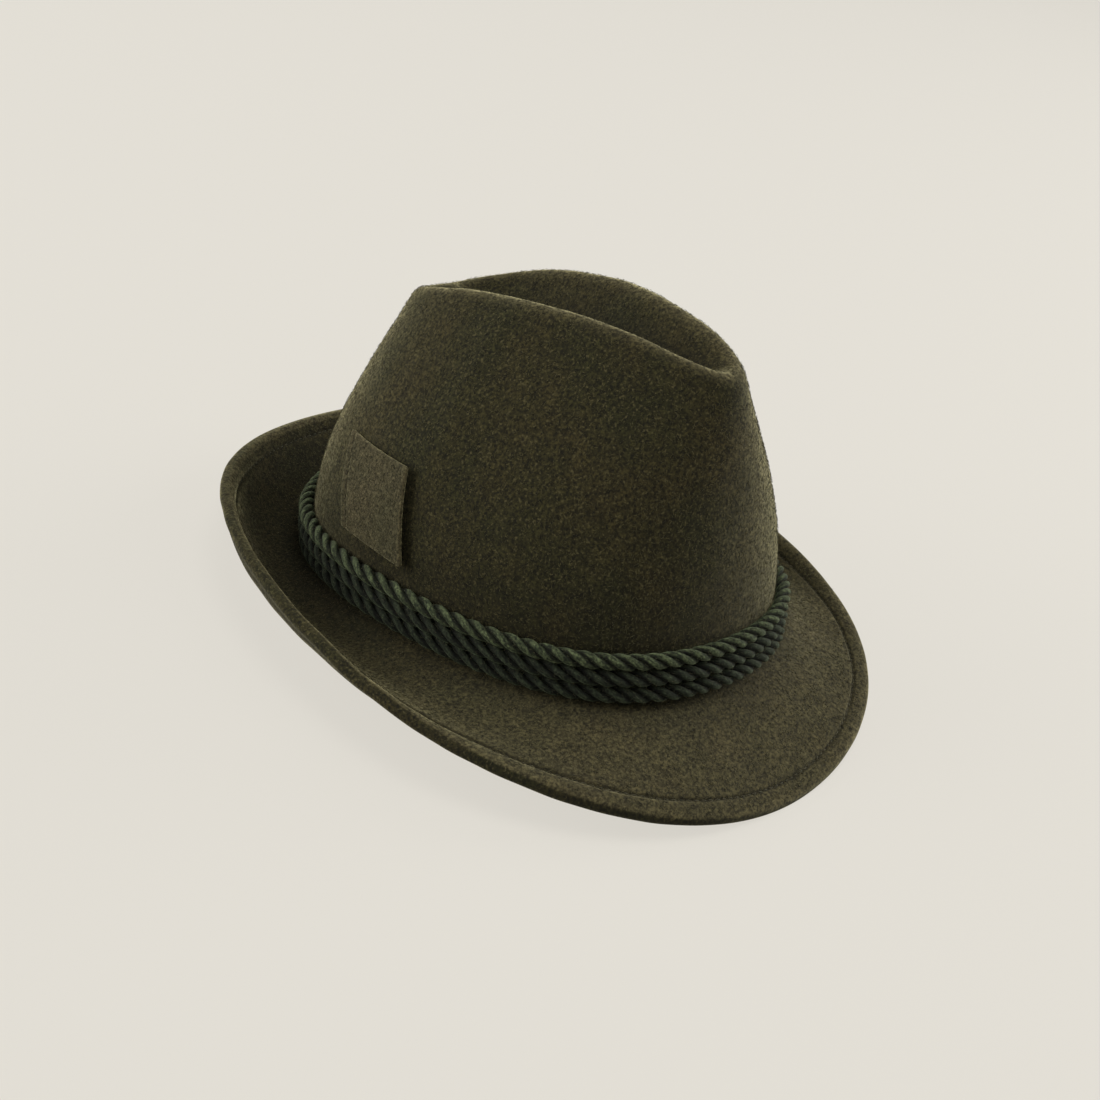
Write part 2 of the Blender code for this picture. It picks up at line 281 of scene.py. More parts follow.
# The yarn's fine lines: how many a metre along a strand and how many around it. A thread's are even, so many
# a metre. Then their noise, their relief and the mottle.
YARN_LINES = (500, 8, 1)
THREAD_LINES = (1500, 1500, 1500)
YARN_LINE_NOISE = (3.0, 0.6)
YARN_LINE_TURN = (0.38, 0.62)
YARN_BUMP = 0.8
YARN_BUMP_DEPTH = 0.0004
YARN_MOTTLE_SIZE = 0.0009
YARN_MOTTLE_NOISE = (2.0, 0.7)
YARN_MOTTLE = [(0.38, 0.45), (0.50, 1.0), (0.62, 1.7)]
CORD_FIBRES = [(0.0, (0.003, 0.004, 0.0025)), (0.6, (0.014, 0.017, 0.009)), (1.0, (0.060, 0.068, 0.038))]
THREAD_DARK = (0.020, 0.017, 0.010)
THREAD_LIGHT = (0.050, 0.042, 0.026)

# Each light: name, where it stands round and up from the front, in degrees, its size and its power.
LIGHT_AIM = (0, 0, 0.06)
LIGHT_DISTANCE = 2.5
LIGHT_COLOUR = (1, 0.985, 0.93)
LIGHTS = [
    ("left_low", -120, 18, 1.4, 34),
    ("left_side", -143, 25, 1.5, 16),
    ("left_high", -118, 42, 1.5, 6),
    ("left_behind", -175, 20, 1.5, 7),
    ("right_high", 40, 42, 1.5, 18),
    ("right_behind", 72, 20, 1.5, 41),
    ("top", 0, 88, 1.5, 37),
]
# The studio's walls, as pale as the floor up to this height and dim above it, as the sine of the angle up.
WORLD_BY_HEIGHT = [
    (0.0, (0.70, 0.672, 0.612)),
    (0.30, (0.70, 0.672, 0.612)),
    (0.55, (0.05, 0.049, 0.046)),
]
# The floor is lit by itself too, so that it is as pale as the photo's ground.
FLOOR_ROUGHNESS = 0.9
FLOOR_COLOUR = (0.07, 0.068, 0.064)
FLOOR_GLOW = (0.76, 0.73, 0.665)
FLOOR_GLOW_STRENGTH = 0.855
FLOOR_SIZE = 40.0

RANDOM = np.random.default_rng(7)


def full_turn(count):
    """Angles evenly spaced over one turn, from the front."""
    return 2 * math.pi * np.arange(count) / count


def around(rows, column, phi):
    """A column of a table by angle, joined by cosines so that the left and right sides match."""
    known = np.radians([row[0] for row in rows])
    waves = np.arange(len(rows))
    weights = np.linalg.solve(np.cos(np.outer(known, waves)), [row[column] for row in rows])
    return np.cos(np.multiply.outer(phi, waves)) @ weights


def upward(column, level):
    """A column of the crown's table at a level, as one smooth curve through its rows."""
    shares = [row[0] for row in CROWN_ROWS]
    weights = np.polyfit(shares, [row[column] for row in CROWN_ROWS], len(shares) - 1)
    return np.polyval(weights, level / CROWN_HEIGHT)


def oval(half_width, front, back, phi):
    """A head's oval seen from above. phi is 0 at the front and grows towards the wearer's left."""
    side, ahead = np.sin(phi), np.cos(phi)
    reach = np.where(ahead > 0, front, back)
    return (
        half_width * side * (1 + BASE_SQUARENESS * ahead**2),
        -reach * ahead * (1 + BASE_SQUARENESS * side**2),
    )


def points(x, y, z):
    """Points from their coordinates, each a number or an array."""
    return np.stack(np.broadcast_arrays(x, y, z), -1)


def base_level(phi):
    return -BASE_DIP * np.cos(2 * phi)


def wall_point(level, phi):
    """The crown's outside at a level above the base line."""
    pinch = 1 - upward(4, level) * np.clip(np.cos(phi), 0, None)
    half_width = BASE_WIDTH / 2 * upward(1, level) * pinch
    front, back = (BASE_LENGTH / 2 * upward(column, level) for column in (2, 3))
    x, y = oval(half_width, front, back, phi)
    fade = np.clip(1 - level / CROWN_HEIGHT, 0, 1)
    return points(x, y, level + base_level(phi) * fade)


def base_normal(phi):
    """The base oval's outward direction, seen from above."""
    step = 1e-3
    half = BASE_LENGTH / 2
    ends = [oval(BASE_WIDTH / 2, half, half, phi + side * step) for side in (-1, 1)]
    run = np.subtract(ends[1], ends[0])
    x, y = run / np.hypot(*run)
    return points(y, -x, 0)


def brim_point(share, phi):
    """The brim's top at a share of its reach, 0 at the crown and 1 at the rim."""
    reach, rise = (BRIM_REACH * around(BRIM_ROWS, column, phi) for column in (1, 2))
    slope, curl = (around(BRIM_ROWS, column, phi) for column in (3, 4))
    base = base_level(phi)
    out = share * reach
    up = base + slope * out + (rise - base - slope * reach) * share**curl
    x, y = oval(BASE_WIDTH / 2, BASE_LENGTH / 2, BASE_LENGTH / 2, phi)
    return points(x, y, up) + base_normal(phi) * out[..., None]


def ridge_level(phi):
    return CROWN_HEIGHT * around(RIDGE_ROWS, 1, phi)


def crease_point(share, phi):
    """The crown's top at a share of the way from the crease's floor, 0, to the ridge, 1."""
    ridge = wall_point(ridge_level(phi), phi)
    front, back = (wall_point(ridge_level(end), end)[1] for end in (0.0, math.pi))
    middle, half = (front + back) / 2, (back - front) / 2 - CREASE_INSET
    depth = CROWN_HEIGHT * around(RIDGE_ROWS, 2, phi)
    floor = points(0, middle - half * np.cos(phi), ridge[..., 2] - depth)
    blend = points(share, share, share**CREASE_CURVE)
    return floor + (ridge - floor) * blend


def unit(vectors):
    return vectors / np.linalg.norm(vectors, axis=-1, keepdims=True)


def bend(start, corner, end, steps):
    """The points inside the curve that rounds off a corner."""
    shares = [step / steps for step in range(1, steps)]
    return [(1 - s) ** 2 * start + 2 * s * (1 - s) * corner + s**2 * end for s in shares]


def brim_rows(phi, distances):
    """Rows of points over the brim's top, each at its distance from the rim along the felt."""
    shares = np.linspace(1, 0, SECTION_SAMPLES)
    section = np.stack([brim_point(share, phi) for share in shares])
    lengths = np.linalg.norm(np.diff(section, axis=0), axis=-1)
    run = np.concatenate([np.zeros((1, len(phi))), np.cumsum(lengths, axis=0)])
    wanted = distances(run[-1] - BREAK_BEND)
    rows = np.empty((len(wanted), len(phi), 3))
    for k in range(len(phi)):
        for axis in range(3):
            rows[:, k, axis] = np.interp(wanted[:, k], run[:, k], section[:, k, axis])
    return list(rows), wanted


def crown_rows(brim_end, phi, steps):
    """Rows from the brim's inner end up to the crease's floor, by steps of bend, wall, ridge and crease."""
    break_steps, wall_steps, ridge_steps, crease_steps = steps
    rows = bend(brim_end, wall_point(0.0, phi), wall_point(BREAK_BEND, phi), break_steps)
    names = ["break"] * len(rows)
    ridge = ridge_level(phi)
    rise = ridge - RIDGE_BEND - BREAK_BEND
    for step in range(wall_steps + 1):
        rows.append(wall_point(BREAK_BEND + rise * step / wall_steps, phi))
        names.append("wall")
    corner, floor = wall_point(ridge, phi), crease_point(0.0, phi)
    lip_share = 1 - RIDGE_BEND / np.linalg.norm(corner - floor, axis=-1)
    lip = bend(rows[-1], corner, crease_point(lip_share, phi), ridge_steps)
    rows += lip
    names += ["ridge"] * len(lip)
    for step in range(crease_steps + 1):
        rows.append(crease_point(lip_share * (1 - step / crease_steps), phi))
        names.append("crease")
    return rows, names


def row_normals(rows):
    """Outward normals of the rows. The last row is the crease's floor, where the two sides meet."""
    grid = np.stack(rows)
    across = np.roll(grid, -1, axis=1) - np.roll(grid, 1, axis=1)
    mirror = np.roll(grid[-2, ::-1], 1, axis=0)
    padded = np.concatenate([2 * grid[:1] - grid[1:2], grid, mirror[None]])
    along = padded[2:] - padded[:-2]
    half = grid.shape[1] // 2
    for directions in (across, along):
        directions[-1, [0, half]] = directions[-1, [1, half - 1]]
    return unit(np.cross(across, along))


def edge_rows(rows, normals, steps):
    """The round outside of the folded edge, from under the brim to its top."""
    outward = unit(rows[0] - rows[1])
    centre = rows[0] - normals[0] * FELT_THICKNESS
    turns = [math.pi * step / steps for step in range(1, steps)]
    return [
        centre + FELT_THICKNESS * (normals[0] * math.cos(turn) + outward * math.sin(turn))
        for turn in turns[::-1]
    ]


def tipped(cloud, angle):
    """How far back and how high the points lie, once the hat is tipped back by an angle."""
    back, up = cloud[..., 1], cloud[..., 2]
    return back * math.cos(angle) + up * math.sin(angle), up * math.cos(angle) - back * math.sin(angle)


def at_rest(cloud):
    """The points once the hat is tipped back, set over the origin and pressed flat where it rests."""
    back, up = tipped(cloud, math.radians(REST_TIP))
    return points(cloud[..., 0], back + REST_SLIDE, np.maximum(up + REST_LIFT, 0))


def fine_section(phi):
    """Rows of the felt's outside from the brim's edge to the crease's floor, their names, and the brim rows'
    distances from the rim."""
    fold_end = FOLD_WIDTH + FELT_THICKNESS / 3
    groove_start, groove_end = GROOVE_FROM_EDGE - GROOVE_HALF_WIDTH, GROOVE_FROM_EDGE + GROOVE_HALF_WIDTH
    near = np.concatenate([
        np.arange(FELT_THICKNESS, groove_start, BAND_STEP),
        np.linspace(groove_start, groove_end, GROOVE_STEPS + 1),
        [fold_end],
    ])

    def distances(inner):
        shares = np.arange(1, BRIM_STEPS + 1)[:, None] / BRIM_STEPS
        brim = fold_end + (inner - fold_end) * shares
        return np.concatenate([np.repeat(near[:, None], len(phi), axis=1), brim])

    rows, wanted = brim_rows(phi, distances)
    names = ["fold"] * (len(near) - 1) + ["brim"] * (BRIM_STEPS + 1)
    steps = (BREAK_STEPS, WALL_STEPS, RIDGE_STEPS, CREASE_STEPS)
    rest, rest_names = crown_rows(rows[-1], phi, steps)
    return rows + rest, names + rest_names, wanted


def smooth_step(value, start, end):
    share = np.clip((value - start) / (end - start), 0, 1)
    return share * share * (3 - 2 * share)


def uneven(cloud):
    """How far the blocked felt stands out of its true form at each point, softly varied."""
    flat = cloud.reshape(-1, 3) / UNEVEN_SPAN
    heights = [
        noise.noise(Vector(point)) + UNEVEN_FINER_SHARE * noise.noise(Vector(UNEVEN_FINER * point))
        for point in flat
    ]
    return UNEVEN_HEIGHT * np.array(heights).reshape(cloud.shape[:-1])


def felt_lift(rows, names, wanted):
    """How far each point of the outside stands out: unevenness, the puffed edge and the stitched groove."""
    grid = np.stack(rows)
    lift = uneven(grid)
    level = grid[..., 2]
    for index, name in enumerate(names):
        if name == "break":
            lift[index] = 0
        elif name == "wall":
            lift[index] *= smooth_step(level[index], BAND_TOP, BAND_TOP + UNEVEN_SPAN)
        elif name in ("fold", "brim"):
            lift[index] *= 1 - smooth_step(wanted[index] / wanted[-1], *TRUE_BRIM_BETWEEN)
    count = len(wanted)
    start = FELT_THICKNESS
    band = np.clip((wanted - start) / (GROOVE_FROM_EDGE - GROOVE_HALF_WIDTH - start), 0, 1)
    lift[:count] += EDGE_PUFF * np.sin(math.pi * band)
    side = np.clip(np.abs(wanted - GROOVE_FROM_EDGE) / GROOVE_HALF_WIDTH, 0, 1)
    lift[:count] -= GROOVE_DEPTH * (1 - side) ** GROOVE_ROUNDING
    return lift


def felt_grid():
    """The felt's outside as a grid of points in the hat's own frame, its normals, its true form's normals,
    its rows' names and the brim rows' distances from the rim."""
    phi = full_turn(COLUMNS)
    rows, names, wanted = fine_section(phi)
    true = row_normals(rows)
    grid = np.stack(rows) + true * felt_lift(rows, names, wanted)[..., None]
    return grid, row_normals(list(grid)), true, names, wanted


def mesh_object(name, vertices, faces, material):
    """One object from an array of points and rows of vertex numbers."""
    mesh = bpy.data.meshes.new(name)
    mesh.from_pydata(np.asarray(vertices).tolist(), [], [list(face) for face in faces])
    mesh.polygons.foreach_set("use_smooth", [True] * len(mesh.polygons))
    mesh.materials.append(material)
    body = bpy.data.objects.new(name, mesh)
    bpy.context.scene.collection.objects.link(body)
    return body


def ring_faces(first, second):
    """Quads between two rings of vertex numbers."""
    ends = np.stack([first, np.roll(first, -1), np.roll(second, -1), second], -1)
    return ends.tolist()


def set_attribute(body, name, values):
    """A number at each vertex, which a material reads by its name."""
    attribute = body.data.attributes.new(name, "FLOAT", "POINT")
    attribute.data.foreach_set("value", np.asarray(values, np.float32))


def share_within(names, index):
    """How far one row is through the rows that have its name, from 0 to 1."""
    return (index - names.index(names[index]) + 0.5) / names.count(names[index])


def outside_shade(row, name, share, distance, inner_end):
    """How much painted shade darkens the felt along one row of its outside."""
    if name == "crease":
        return np.full(COLUMNS, CREASE_SHADE * smooth_step(share, 0.0, CREASE_SHADE_FULL_AT))
    if name == "wall":
        return BAND_SHADE * (1 - smooth_step(row[:, 2], BAND_TOP, BAND_TOP + BAND_SHADE_REACH))
    if distance is None:
        return np.full(COLUMNS, BAND_SHADE if name == "break" else 0.0)
    groove = GROOVE_SHADE * np.clip(1 - np.abs(distance - GROOVE_FROM_EDGE) / GROOVE_HALF_WIDTH, 0, 1)
    turned_up = CHANNEL_SHADE * smooth_step(-np.cos(full_turn(COLUMNS)), *CHANNEL_BETWEEN)
    channel = turned_up * smooth_step(distance, GROOVE_FROM_EDGE, 2 * GROOVE_FROM_EDGE)
    by_cords = BAND_SHADE * smooth_step(distance / inner_end, *BAND_SHADE_ON_BRIM)
    return np.clip(groove + channel + by_cords, 0, 1)


def under_rows(rows, true, names, wanted):
    """Rows of the felt's underside, from the rim in, mostly every other one of the outside's. Under the fold
    the felt is double, and the groove doesn't show."""
    under = []
    for index, name in enumerate(names):
        kept = name in ("ridge", "break") or index % 2 == 0 or index == len(names) - 1
        from_groove = abs(wanted[index, 0] - GROOVE_FROM_EDGE) if index < len(wanted) else math.inf
        if kept and from_groove >= GROOVE_HIDDEN * GROOVE_HALF_WIDTH:
            layers = 2 if name == "fold" else 1
            under.append(rows[index] - true[index] * FELT_THICKNESS * layers)
    return under


def lined_edge(rows, true):
    """The folded edge's rows, with the thin line that runs along their outside."""
    centre = rows[0] - true[0] * FELT_THICKNESS
    edge = []
    for step, row in enumerate(edge_rows(rows, true, EDGE_STEPS), 1):
        depth = EDGE_LINE_DEPTH if step == EDGE_STEPS - EDGE_LINE_STEP else 0.0
        edge.append(centre + (row - centre) * (1 - depth / FELT_THICKNESS))
    return edge


def felt_highlight(names, before):
    """How strongly a highlight is painted on each row, after so many rows of the underside and the edge."""
    in_front = smooth_step(np.cos(full_turn(COLUMNS)), *BRIM_HIGHLIGHT_BETWEEN)
    painted_highlight = [np.zeros(COLUMNS) for _ in range(before + len(names))]
    for index, name in enumerate(names):
        if name == "ridge":
            painted_highlight[before + index] += HIGHLIGHT_AT_RIDGE * math.sin(math.pi * share_within(names, index)) ** 2
        elif name in ("fold", "brim"):
            painted_highlight[before + index] += BRIM_HIGHLIGHT * in_front
    for index in range(before - CREST_ROWS, before + CREST_ROWS):
        painted_highlight[index] = np.full(COLUMNS, HIGHLIGHT_AT_CREST)
    return painted_highlight


def felt_shade(grid, names, wanted, under_count, edge_count):
    """How much painted shade darkens each row: the underside's from the crown out, the edge's and the
    outside's.
    """
    shade = []
    for index in range(under_count):
        nearness = smooth_step(index / (under_count - 1), UNDER_LIP_FROM, 1)
        shade.append(np.full(COLUMNS, UNDER_LIP_SHADE * nearness))
    turned_down = np.clip(np.cos(full_turn(COLUMNS)), 0, 1)
    for step in range(1, edge_count + 1):
        share = step / EDGE_STEPS
        under_lip = UNDER_LIP_SHADE * (1 - smooth_step(share, 0.0, UNDER_LIP_ONTO_EDGE))
        front_edge = EDGE_SHADE * turned_down * (1 - smooth_step(share, *EDGE_SHADE_BETWEEN))
        shade.append(np.maximum(front_edge, under_lip))
    for index, name in enumerate(names):
        distance = wanted[index] if index < len(wanted) else None
        shade.append(outside_shade(grid[index], name, share_within(names, index), distance, wanted[-1]))
    return shade


def add_felt(material):
    """The crown and brim, one felt body with its edge folded under. Returns its outside, its normals and the
    brim rows' distances from the rim."""
    grid, normals, true, names, wanted = felt_grid()
    rows = list(grid)
    under, edge = under_rows(rows, true, names, wanted), lined_edge(rows, true)
    shell = under[::-1] + edge + rows
    painted_highlight = felt_highlight(names, len(under) + len(edge))
    shade = felt_shade(grid, names, wanted, len(under), len(edge))
    half = COLUMNS // 2
    column = np.arange(COLUMNS)
    vertices, rings, highlights, shades = [], [], [], []
    start = 0
    for index, row in enumerate(shell):
        if index in (0, len(shell) - 1):
            vertices.append(row[: half + 1])
            rings.append(start + np.minimum(column, COLUMNS - column))
        else:
            vertices.append(row)
            rings.append(start + column)
        start += len(vertices[-1])
        highlights += painted_highlight[index][: len(vertices[-1])].tolist()
        shades += shade[index][: len(vertices[-1])].tolist()
    faces = [face for first, second in zip(rings, rings[1:]) for face in ring_faces(first, second)]
    body = mesh_object("felt_body", at_rest(np.concatenate(vertices)), faces, material)
    # The painted highlight and the painted shade of each vertex, which the felt's material reads.
    set_attribute(body, "painted_highlight", highlights)
    set_attribute(body, "painted_shade", shades)
    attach(body, "root")
    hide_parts("crown_and_brim")
    return grid, normals, wanted


def fibres(grid, closed, count, length, width, rise):
    """Fine fibres lying on a grid of points: vertices, faces and a tone from 0 to 1 for each vertex.
    closed says whether the grid's rows run all the way round."""
    after = np.roll(grid, -1, axis=1) if closed else grid[:, 1:]
    before = grid if closed else grid[:, :-1]
    corner, along, across = before[:-1], before[1:] - before[:-1], after[:-1] - before[:-1]
    normal = np.cross(across, along)
    area = np.linalg.norm(normal, axis=-1)
    chosen = RANDOM.choice(area.size, count, p=(area / area.sum()).ravel())
    u, v = RANDOM.random((2, count, 1))
    flat = [array.reshape(-1, 3)[chosen] for array in (corner, along, across, normal)]
    root = flat[0] + u * flat[1] + v * flat[2]
    up = unit(flat[3])
    first = unit(flat[1] - up * (flat[1] * up).sum(-1, keepdims=True))
    second = np.cross(up, first)
    turn = RANDOM.random((count, 1)) * 2 * math.pi
    ahead = first * np.cos(turn) + second * np.sin(turn)
    aside = np.cross(up, ahead)
    reach = length * (0.5 + RANDOM.random((count, 1)))
    high = rise * RANDOM.random((count, 1)) ** 2
    sway = (RANDOM.random((count, 1)) - 0.5) * reach * FIBRE_SWAY
    middle = root + ahead * reach / 2 + up * (high * FIBRE_BOW + width) + aside * sway
    tip = root + ahead * reach + up * high - aside * sway * FIBRE_TIP_SWAY
    root = root - up * width
    ring = []
    for step in range(3):
        angle = 2 * math.pi * step / 3
        ring.append(middle + width / 2 * (aside * math.cos(angle) + up * math.sin(angle)))
    vertices = np.stack([root, *ring, tip], axis=1).reshape(-1, 3)
    pattern = np.array([(0, 2, 1), (0, 3, 2), (0, 1, 3), (4, 1, 2), (4, 2, 3), (4, 3, 1)])
    faces = (np.arange(count)[:, None, None] * 5 + pattern).reshape(-1, 3)
    tone = np.repeat(RANDOM.random(count), 5)
    return vertices, faces, tone


def add_fibres(name, parts, material):
    """Several lots of fibres, each its vertices, faces and tones, as one piece."""
    vertices, faces, tones, start = [], [], [], 0
    for part_vertices, part_faces, part_tones in parts:
        vertices.append(part_vertices)
        faces.append(part_faces + start)
        tones.append(part_tones)
        start += len(part_vertices)
    body = mesh_object(name, np.concatenate(vertices), np.concatenate(faces), material)
    set_attribute(body, "tone", np.concatenate(tones))
    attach(body, "root")


def wall_normal(level, phi):
    """The crown's outward direction at a level above the base line."""
    step = 1e-4
    up = wall_point(level + step, phi) - wall_point(level - step, phi)
    across = wall_point(level, phi + step) - wall_point(level, phi - step)
    return unit(np.cross(across, up))


def seat_level(phi):
    """The level of the lowest cord's centre, where it lies against both the crown and the brim."""
    clear = CORD_DIAMETER / 2 + GAP
    shares = np.linspace(BREAK_BEND, 3 * CORD_DIAMETER, SECTION_SAMPLES) / BRIM_REACH
    brim = [brim_point(share, phi) for share in shares]
    corner = bend(brim[0], wall_point(0.0, phi), wall_point(BREAK_BEND, phi), SEAT_BEND_STEPS)
    surface = np.stack(brim + corner)
    levels = np.linspace(3 * CORD_DIAMETER, 0, SECTION_SAMPLES)
    seats = np.full(len(phi), levels[0])
    for level in levels:
        centre = wall_point(level, phi) + wall_normal(level, phi) * clear
        distance = np.linalg.norm(surface - centre, axis=-1).min(axis=0)
        seats = np.where(distance >= clear, level, seats)
    waves = np.cos(np.outer(phi, np.arange(len(BRIM_ROWS))))
    smooth = waves @ np.linalg.lstsq(waves, seats, rcond=None)[0]
    return smooth + max(0, (seats - smooth).max())


def cord_path(row, phi):
    """The centre line of one cord, and the directions out of the crown and along the cord."""
    level = seat_level(phi) + row * (CORD_DIAMETER + GAP)
    out = wall_normal(level, phi)
    path = wall_point(level, phi) + out * (CORD_DIAMETER / 2 + GAP)
    along = unit(np.roll(path, -1, axis=0) - np.roll(path, 1, axis=0))
    out = unit(out - along * (out * along).sum(axis=-1, keepdims=True))
    return path, out, along


def strand_grid(row, strand):
    """The surface of one strand of a cord, a grid closed both ways, of rows around the strand."""
    path = cord_path(row, full_turn(PATH_SAMPLES))[0]
    length = np.linalg.norm(np.roll(path, -1, axis=0) - path, axis=-1).sum()
    turns = round(length / CORD_LAY_LENGTH)
    steps = round(length / STRAND_STEP)
    path, out, along = cord_path(row, full_turn(steps))
    side = np.cross(along, out)
    radius = CORD_DIAMETER / 2 / (1 + 2 / math.sqrt(3))
    turn = (full_turn(steps) * turns + 2 * math.pi * strand / CORD_STRANDS)[:, None]
    centre = path + (CORD_DIAMETER / 2 - radius) * (np.cos(turn) * out + np.sin(turn) * side)
    forward = unit(np.roll(centre, -1, axis=0) - np.roll(centre, 1, axis=0))
    away = np.cos(turn) * out + np.sin(turn) * side
    away = unit(away - forward * (away * forward).sum(axis=-1, keepdims=True))
    beside = np.cross(forward, away)
    angles = full_turn(STRAND_SIDES)
    plies = round(length / STRAND_PLY_LENGTH)
    wave = STRAND_PLIES * angles[None, :] + plies * full_turn(steps)[:, None]
    swell = radius * (1 + STRAND_PLY_HEIGHT * np.cos(wave))[..., None]
    ring = away[:, None] * np.cos(angles)[:, None] + beside[:, None] * np.sin(angles)[:, None]
    return centre[:, None] + swell * ring, length


def yarn_uvs(steps, length, strand):
    """Where each corner of a strand's quads lies: metres along the yarn and share of the way around it."""
    u = np.arange(steps)[:, None] + np.zeros(STRAND_SIDES)
    v = np.zeros(steps)[:, None] + np.arange(STRAND_SIDES)
    quads = np.stack([u, v, u, v + 1, u + 1, v + 1, u + 1, v], -1).reshape(-1, 4, 2)
    return quads * (length / steps, 1 / STRAND_SIDES) + (strand * length, 0)


def add_cord(row, name, material):
    """One twisted cord, of strands that are themselves twisted. Returns the strands' surfaces."""
    vertices, faces, uvs, grids, start = [], [], [], [], 0
    for strand in range(CORD_STRANDS):
        grid, length = strand_grid(row, strand)
        grid = at_rest(grid)
        grids.append(grid)
        steps = len(grid)
        index = start + np.arange(steps * STRAND_SIDES).reshape(steps, STRAND_SIDES)
        following, beside = np.roll(index, -1, axis=0), np.roll(index, -1, axis=1)
        corner = np.roll(following, -1, axis=1)
        faces.append(np.stack([index, beside, corner, following], -1).reshape(-1, 4))
        uvs.append(yarn_uvs(steps, length, strand))
        vertices.append(grid.reshape(-1, 3))
        start += steps * STRAND_SIDES
    body = mesh_object(name + "_strands", np.concatenate(vertices), np.concatenate(faces), material)
    layer = body.data.uv_layers.new(name="yarn")
    layer.data.foreach_set("uv", np.concatenate(uvs).astype(np.float32).ravel())
    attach(body, "root")
    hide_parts(name)
    return grids


def stitch_row(path, normals):
    """Short threads along a path, each rising out of the felt and back into it: their vertices and faces."""
    steps = np.linalg.norm(np.diff(path, axis=0), axis=-1)
    run = np.concatenate([[0], np.cumsum(steps)])
    count = round(run[-1] / STITCH_PITCH)
    pitch = run[-1] / count
    along_stitch = np.arange(STITCH_RINGS) / (STITCH_RINGS - 1)
    arch = np.sin(math.pi * along_stitch)[:, None]
    thickness = STITCH_RADIUS * (STITCH_END + (1 - STITCH_END) * arch)
    vertices, faces = [], []
    for number in range(count):
        places = (number + 0.5 + (along_stitch - 0.5) * STITCH_SHARE) * pitch
        centre = np.stack([np.interp(places, run, path[:, axis]) for axis in range(3)], -1)
        up = unit(np.stack([np.interp(places, run, normals[:, axis]) for axis in range(3)], -1))
        side = np.cross(unit(np.gradient(centre, axis=0)), up)
        centre = centre + up * (arch * STITCH_ARCH * STITCH_RADIUS - STITCH_SINK)
        ring = [
            centre + thickness * (up * math.cos(angle) + side * math.sin(angle))
            for angle in full_turn(STITCH_SIDES)
        ]
        start = len(vertices) * STITCH_RINGS * STITCH_SIDES
        vertices.append(np.stack(ring, 1).reshape(-1, 3))
        index = start + np.arange(STITCH_RINGS * STITCH_SIDES).reshape(STITCH_RINGS, STITCH_SIDES)
        for first, second in zip(index, index[1:]):
            faces += ring_faces(first, second)
        faces += [index[0][::-1].tolist(), index[-1].tolist()]
    return np.concatenate(vertices), faces


def add_groove_stitches(grid, normals, wanted, material):
    """The thread in the groove that holds the brim's fold."""
    row = int(np.abs(wanted[:, 0] - GROOVE_FROM_EDGE).argmin())
    path = np.concatenate([grid[row], grid[row][:1]])
    ups = np.concatenate([normals[row], normals[row][:1]])
    vertices, faces = stitch_row(path, ups)
    body = mesh_object("groove_stitches", at_rest(vertices), faces, material)
    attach(body, "root")


def holder_point(across, up, stand):
    """A point of the holder: the shares of the way across from its back edge and up from its lower edge, and
    how far it stands out of its inner face."""
    edges = (HOLDER_LOWER, HOLDER_UPPER)
    lower, upper = (np.radians(start + (end - start) * across) for start, end in edges)
    phi = lower + (upper - lower) * up
    seat = seat_level(lower.ravel()).reshape(lower.shape)
    cords_top = seat + (len(CORD_NAMES) - 0.5) * (CORD_DIAMETER + GAP)
    level = cords_top + HOLDER_ABOVE_CORDS + HOLDER_HEIGHT * up
    opening = GAP + HOLDER_OPENING * across**2
    surface = wall_point(level, phi)
    return surface + wall_normal(level, phi) * (opening + stand)[..., None]


def add_holder(material):
    """The feather holder, a soft-edged felt patch with a pressed seam near its back edge. Returns its outer
    face."""
    inset = HOLDER_EDGE / HOLDER_HEIGHT
    shares = np.linspace(inset, 1 - inset, HOLDER_STEPS + 1)
    across, up = np.meshgrid(shares, shares)
    seam = np.exp(-(((across - HOLDER_SEAM) / HOLDER_SEAM_WIDTH) ** 2))
    inner = holder_point(across, up, np.zeros_like(across))
    outer = holder_point(across, up, HOLDER_THICKNESS - HOLDER_SEAM_DEPTH * seam)
    size = HOLDER_STEPS + 1
    order = (
        [(0, column) for column in range(size)]
        + [(row, size - 1) for row in range(1, size)]
        + [(size - 1, column) for column in range(size - 2, -1, -1)]
        + [(row, 0) for row in range(size - 2, 0, -1)]
    )
    rows, columns = np.array(order).T
    nearer = (np.clip(rows, 1, size - 2), np.clip(columns, 1, size - 2))
    outward = unit((inner + outer)[rows, columns] - (inner + outer)[nearer])
    vertices = [inner.reshape(-1, 3), outer.reshape(-1, 3)]
    index = np.arange(size * size).reshape(size, size)
    quads = np.stack([index[:-1, :-1], index[:-1, 1:], index[1:, 1:], index[1:, :-1]], -1).reshape(-1, 4)
    faces = quads[:, ::-1].tolist() + (quads + size * size).tolist()
    rings = [index[rows, columns]]
    for step in range(1, HOLDER_EDGE_STEPS):
        angle = math.pi * step / HOLDER_EDGE_STEPS
        share = (1 - math.cos(angle)) / 2
        ring = inner[rows, columns] * (1 - share) + outer[rows, columns] * share
        rings.append(np.arange(len(order)) + 2 * size * size + (step - 1) * len(order))
        vertices.append(ring + outward * HOLDER_EDGE * math.sin(angle))
    rings.append(index[rows, columns] + size * size)
    for first, second in zip(rings, rings[1:]):
        faces += ring_faces(first, second)
    body = mesh_object("holder_patch", at_rest(np.concatenate(vertices)), faces, material)
    # A highlight painted pale along the open edge.
    front = np.clip((across.ravel() - HOLDER_HIGHLIGHT_FROM) / (1 - HOLDER_HIGHLIGHT_FROM), 0, 1)
    edge_highlight = [np.zeros(size * size), HIGHLIGHT_AT_HOLDER * front]
    edge_highlight += [HIGHLIGHT_AT_HOLDER * front.reshape(size, size)[rows, columns]] * (HOLDER_EDGE_STEPS - 1)
    set_attribute(body, "painted_highlight", np.concatenate(edge_highlight))
    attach(body, "root")
    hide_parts("feather_holder")
    return at_rest(outer)


